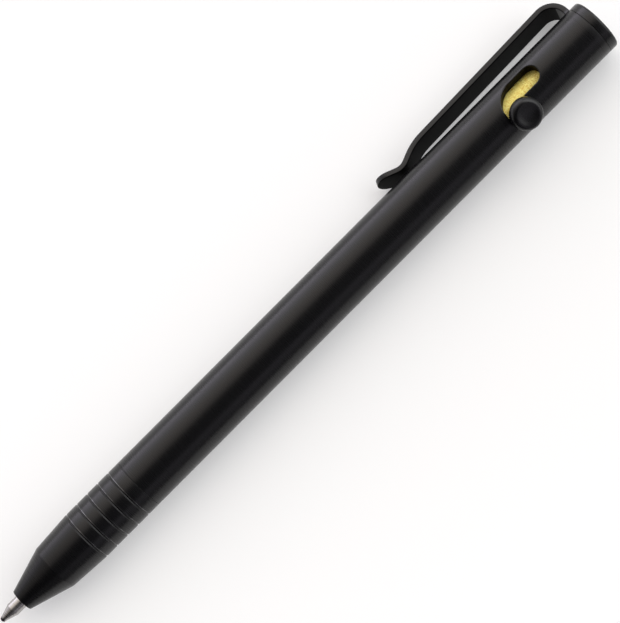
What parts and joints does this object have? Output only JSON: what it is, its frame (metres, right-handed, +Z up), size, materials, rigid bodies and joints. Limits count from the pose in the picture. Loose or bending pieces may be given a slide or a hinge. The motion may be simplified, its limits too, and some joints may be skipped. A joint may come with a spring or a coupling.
{
  "type": "bolt action pen",
  "caption": "Slim black metal pen with a bolt knob in a hooked slot, grooved grip, bent pocket clip and its writing tip out.",
  "frame": {"origin": "on the surface that the pen lies on, under the middle of its bounding box", "axes": "+X along the pen from the writing tip to the end cap, +Y towards the clip's side, +Z up. The pen lies on its barrel and on the lower edge of its clip"},
  "size_m": [0.1376, 0.0143, 0.0121],
  "materials": {
    "black_anodised": "satin black anodised",
    "black_spring_steel": "satin black coated",
    "brass": "turned, satin",
    "nickel_silver": "turned, bright",
    "carbide": "polished",
    "clear_plastic": "clear moulded",
    "grey_plastic": "moulded",
    "spring_wire": "bright drawn wire"
  },
  "bodies": {
    "barrel": {"front_section": "black_anodised", "barrel": "black_anodised", "end_cap": "black_anodised", "clip": "black_spring_steel", "return_spring": "spring_wire"},
    "refill": {"refill_tip": "nickel_silver", "tip_holder": "clear_plastic", "refill_tube": "clear_plastic", "refill_rear_plug": "grey_plastic"},
    "bolt": {"plunger": "brass", "bolt_knob": "black_anodised"},
    "writing_ball": {"writing_ball": "carbide"}
  },
  "joints": [
    {"name": "refill_slide", "type": "slide", "parent": "barrel", "child": "refill", "axis": [1, 0, 0], "range_m": [0, 0.0008], "deforming": ["return_spring"]},
    {"name": "bolt_turn", "type": "hinge", "parent": "refill", "child": "bolt", "pos_m": [0.04945, -0.00164, 0.00475], "axis": [-1, 0, 0], "range_deg": [0, 45]},
    {"name": "ball_roll", "type": "hinge", "parent": "refill", "child": "writing_ball", "pos_m": [-0.0684, -0.00164, 0.00475], "axis": [0, 1, 0], "continuous": true}
  ],
  "couplings": [
    {"joint": "bolt_turn", "follows": "refill_slide", "rad_per_m": 981.75}
  ]
}
